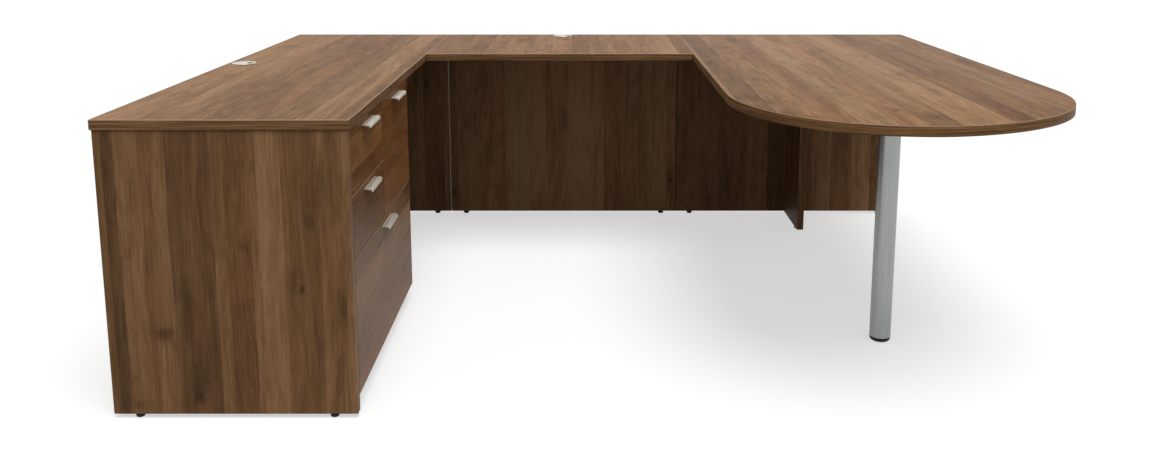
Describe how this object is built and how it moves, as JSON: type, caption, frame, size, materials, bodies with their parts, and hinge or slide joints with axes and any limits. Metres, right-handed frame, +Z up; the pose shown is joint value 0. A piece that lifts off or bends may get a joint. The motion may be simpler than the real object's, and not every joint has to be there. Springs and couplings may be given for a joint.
{
  "type": "u-shaped desk",
  "caption": "U-shaped walnut office desk: left arm over a case of drawers, bridge, and a D-ended peninsula on a round metal post.",
  "frame": {"origin": "on the floor, under the middle of the desk's outline", "axes": "+X from the left arm to the peninsula, +Y from the open side of the U to its back, +Z up"},
  "size_m": [2.458, 1.8804, 0.7516],
  "materials": {
    "top_laminate": "walnut-grain laminate, satin",
    "panel_laminate": "walnut-grain laminate, satin",
    "front_laminate": "walnut-grain laminate, satin",
    "case_laminate": "walnut-grain laminate, matt",
    "box_melamine": "dark grey melamine on board",
    "slide_zinc": "zinc-plated rolled steel",
    "satin_nickel": "satin nickel",
    "satin_aluminium": "satin, clear-coated",
    "black_plastic": "moulded, matt"
  },
  "bodies": {
    "desk": {"left_top": "top_laminate", "bridge_top": "top_laminate", "peninsula_top": "top_laminate", "front_end_panel": "panel_laminate", "left_rear_panel": "panel_laminate", "left_back_panel": "panel_laminate", "bridge_back_panel": "panel_laminate", "peninsula_back_panel": "panel_laminate", "stiffener_panel": "panel_laminate", "leg_post": "satin_aluminium", "left_grommet_liner": "satin_nickel", "bridge_grommet_liner": "satin_nickel", "case_near_side": "case_laminate", "case_far_side": "case_laminate", "case_bottom": "case_laminate", "case_top": "case_laminate", "case_back": "case_laminate", "case_shelf": "case_laminate", "case_divider": "case_laminate", "case_plinth": "case_laminate"},
    "upper_box_drawer": {"upper_box_drawer_front": "front_laminate", "upper_box_drawer_pull": "satin_nickel", "upper_box_drawer_box": "box_melamine", "upper_box_near_inner_member": "slide_zinc", "upper_box_far_inner_member": "slide_zinc"},
    "upper_box_slides": {"upper_box_near_middle_member": "slide_zinc", "upper_box_far_middle_member": "slide_zinc"},
    "lower_box_drawer": {"lower_box_drawer_front": "front_laminate", "lower_box_drawer_pull": "satin_nickel", "lower_box_drawer_box": "box_melamine", "lower_box_near_inner_member": "slide_zinc", "lower_box_far_inner_member": "slide_zinc"},
    "lower_box_slides": {"lower_box_near_middle_member": "slide_zinc", "lower_box_far_middle_member": "slide_zinc"},
    "file_drawer": {"file_drawer_front": "front_laminate", "file_drawer_pull": "satin_nickel", "file_drawer_box": "box_melamine", "file_near_inner_member": "slide_zinc", "file_far_inner_member": "slide_zinc"},
    "file_slides": {"file_near_middle_member": "slide_zinc", "file_far_middle_member": "slide_zinc"},
    "lateral_drawer": {"lateral_drawer_front": "front_laminate", "lateral_drawer_pull": "satin_nickel", "lateral_drawer_box": "box_melamine", "lateral_near_inner_member": "slide_zinc", "lateral_far_inner_member": "slide_zinc"},
    "lateral_slides": {"lateral_near_middle_member": "slide_zinc", "lateral_far_middle_member": "slide_zinc"},
    "left_cap": {"left_grommet_cap": "satin_nickel"},
    "bridge_cap": {"bridge_grommet_cap": "satin_nickel"},
    "leg_foot": {"leg_foot": "black_plastic"},
    "front_end_left_glide": {"front_end_left_glide": "black_plastic"},
    "front_end_right_glide": {"front_end_right_glide": "black_plastic"},
    "left_rear_left_glide": {"left_rear_left_glide": "black_plastic"},
    "left_rear_right_glide": {"left_rear_right_glide": "black_plastic"},
    "bridge_back_left_glide": {"bridge_back_left_glide": "black_plastic"},
    "bridge_back_right_glide": {"bridge_back_right_glide": "black_plastic"},
    "peninsula_back_left_glide": {"peninsula_back_left_glide": "black_plastic"},
    "peninsula_back_right_glide": {"peninsula_back_right_glide": "black_plastic"},
    "stiffener_glide": {"stiffener_glide": "black_plastic"}
  },
  "joints": [
    {"name": "upper_box_drawer_slide", "type": "slide", "parent": "desk", "child": "upper_box_drawer", "axis": [1, 0, 0], "range_m": [0, 0.46]},
    {"name": "upper_box_members_slide", "type": "slide", "parent": "desk", "child": "upper_box_slides", "axis": [1, 0, 0], "range_m": [0, 0.23]},
    {"name": "lower_box_drawer_slide", "type": "slide", "parent": "desk", "child": "lower_box_drawer", "axis": [1, 0, 0], "range_m": [0, 0.46]},
    {"name": "lower_box_members_slide", "type": "slide", "parent": "desk", "child": "lower_box_slides", "axis": [1, 0, 0], "range_m": [0, 0.23]},
    {"name": "file_drawer_slide", "type": "slide", "parent": "desk", "child": "file_drawer", "axis": [1, 0, 0], "range_m": [0, 0.46]},
    {"name": "file_members_slide", "type": "slide", "parent": "desk", "child": "file_slides", "axis": [1, 0, 0], "range_m": [0, 0.23]},
    {"name": "lateral_drawer_slide", "type": "slide", "parent": "desk", "child": "lateral_drawer", "axis": [1, 0, 0], "range_m": [0, 0.46]},
    {"name": "lateral_members_slide", "type": "slide", "parent": "desk", "child": "lateral_slides", "axis": [1, 0, 0], "range_m": [0, 0.23]},
    {"name": "left_cap_turn", "type": "hinge", "parent": "desk", "child": "left_cap", "pos_m": [-1.1744, 0.08385, 0.7493], "axis": [0, 0, 1], "continuous": true},
    {"name": "bridge_cap_turn", "type": "hinge", "parent": "desk", "child": "bridge_cap", "pos_m": [-0.1524, 0.88565, 0.7493], "axis": [0, 0, 1], "continuous": true},
    {"name": "leg_foot_turn", "type": "hinge", "parent": "desk", "child": "leg_foot", "pos_m": [0.7965, -0.38125, 0], "axis": [0, 0, 1], "continuous": true},
    {"name": "front_end_left_glide_turn", "type": "hinge", "parent": "desk", "child": "front_end_left_glide", "pos_m": [-1.165, -0.84645, 0], "axis": [0, 0, 1], "continuous": true},
    {"name": "front_end_right_glide_turn", "type": "hinge", "parent": "desk", "child": "front_end_right_glide", "pos_m": [-0.6846, -0.84645, 0], "axis": [0, 0, 1], "continuous": true},
    {"name": "left_rear_left_glide_turn", "type": "hinge", "parent": "desk", "child": "left_rear_left_glide", "pos_m": [-1.165, 0.92355, 0], "axis": [0, 0, 1], "continuous": true},
    {"name": "left_rear_right_glide_turn", "type": "hinge", "parent": "desk", "child": "left_rear_right_glide", "pos_m": [-0.6794, 0.92355, 0], "axis": [0, 0, 1], "continuous": true},
    {"name": "bridge_back_left_glide_turn", "type": "hinge", "parent": "desk", "child": "bridge_back_left_glide", "pos_m": [-0.5594, 0.92355, 0], "axis": [0, 0, 1], "continuous": true},
    {"name": "bridge_back_right_glide_turn", "type": "hinge", "parent": "desk", "child": "bridge_back_right_glide", "pos_m": [0.2546, 0.92355, 0], "axis": [0, 0, 1], "continuous": true},
    {"name": "peninsula_back_left_glide_turn", "type": "hinge", "parent": "desk", "child": "peninsula_back_left_glide", "pos_m": [0.3746, 0.92355, 0], "axis": [0, 0, 1], "continuous": true},
    {"name": "peninsula_back_right_glide_turn", "type": "hinge", "parent": "desk", "child": "peninsula_back_right_glide", "pos_m": [1.165, 0.92355, 0], "axis": [0, 0, 1], "continuous": true},
    {"name": "stiffener_glide_turn", "type": "hinge", "parent": "desk", "child": "stiffener_glide", "pos_m": [0.7813, 0.70835, 0], "axis": [0, 0, 1], "continuous": true}
  ],
  "couplings": [
    {"joint": "upper_box_members_slide", "follows": "upper_box_drawer_slide", "ratio": 0.5},
    {"joint": "lower_box_members_slide", "follows": "lower_box_drawer_slide", "ratio": 0.5},
    {"joint": "file_members_slide", "follows": "file_drawer_slide", "ratio": 0.5},
    {"joint": "lateral_members_slide", "follows": "lateral_drawer_slide", "ratio": 0.5}
  ]
}
